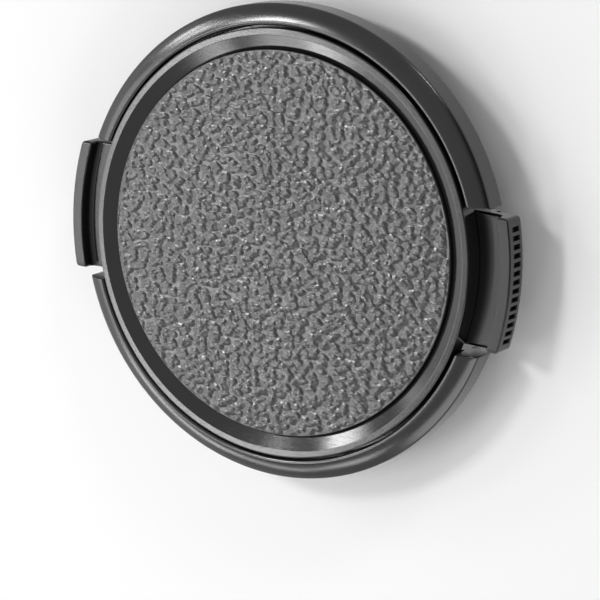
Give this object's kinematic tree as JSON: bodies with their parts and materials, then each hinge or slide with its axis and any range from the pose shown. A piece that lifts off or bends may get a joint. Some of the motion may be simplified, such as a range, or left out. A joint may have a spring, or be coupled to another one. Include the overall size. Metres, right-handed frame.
{
  "type": "camera lens cap",
  "caption": "Round clip-in lens cap with a leather-grained face and two sprung side levers whose jaws grip a lens's filter thread.",
  "frame": {"origin": "middle of the plug's rear rim, on the surface that the cap lies on", "axes": "+Z out of the cap's face, X along the two levers, right lever at +X"},
  "size_m": [0.066, 0.062, 0.0077],
  "materials": {
    "body_plastic": "satin black moulded plastic",
    "cover_plastic": "black moulded plastic with a leather grain on the disc and a satin rim",
    "lever_plastic": "satin black moulded plastic",
    "spring_steel": "bright drawn wire"
  },
  "bodies": {
    "cap": {"body": "body_plastic", "front_cover": "cover_plastic", "spring_right": "spring_steel", "spring_left": "spring_steel"},
    "lever_right": {"lever_right": "lever_plastic"},
    "lever_left": {"lever_left": "lever_plastic"}
  },
  "joints": [
    {"name": "lever_right_press", "type": "slide", "parent": "cap", "child": "lever_right", "axis": [-1, 0, 0], "range_m": [0, 0.0018], "stiffness_N_per_m": 600, "springref_m": -0.002, "deforming": ["spring_right"]},
    {"name": "lever_left_press", "type": "slide", "parent": "cap", "child": "lever_left", "axis": [1, 0, 0], "range_m": [0, 0.0018], "stiffness_N_per_m": 600, "springref_m": -0.002, "deforming": ["spring_left"]}
  ]
}
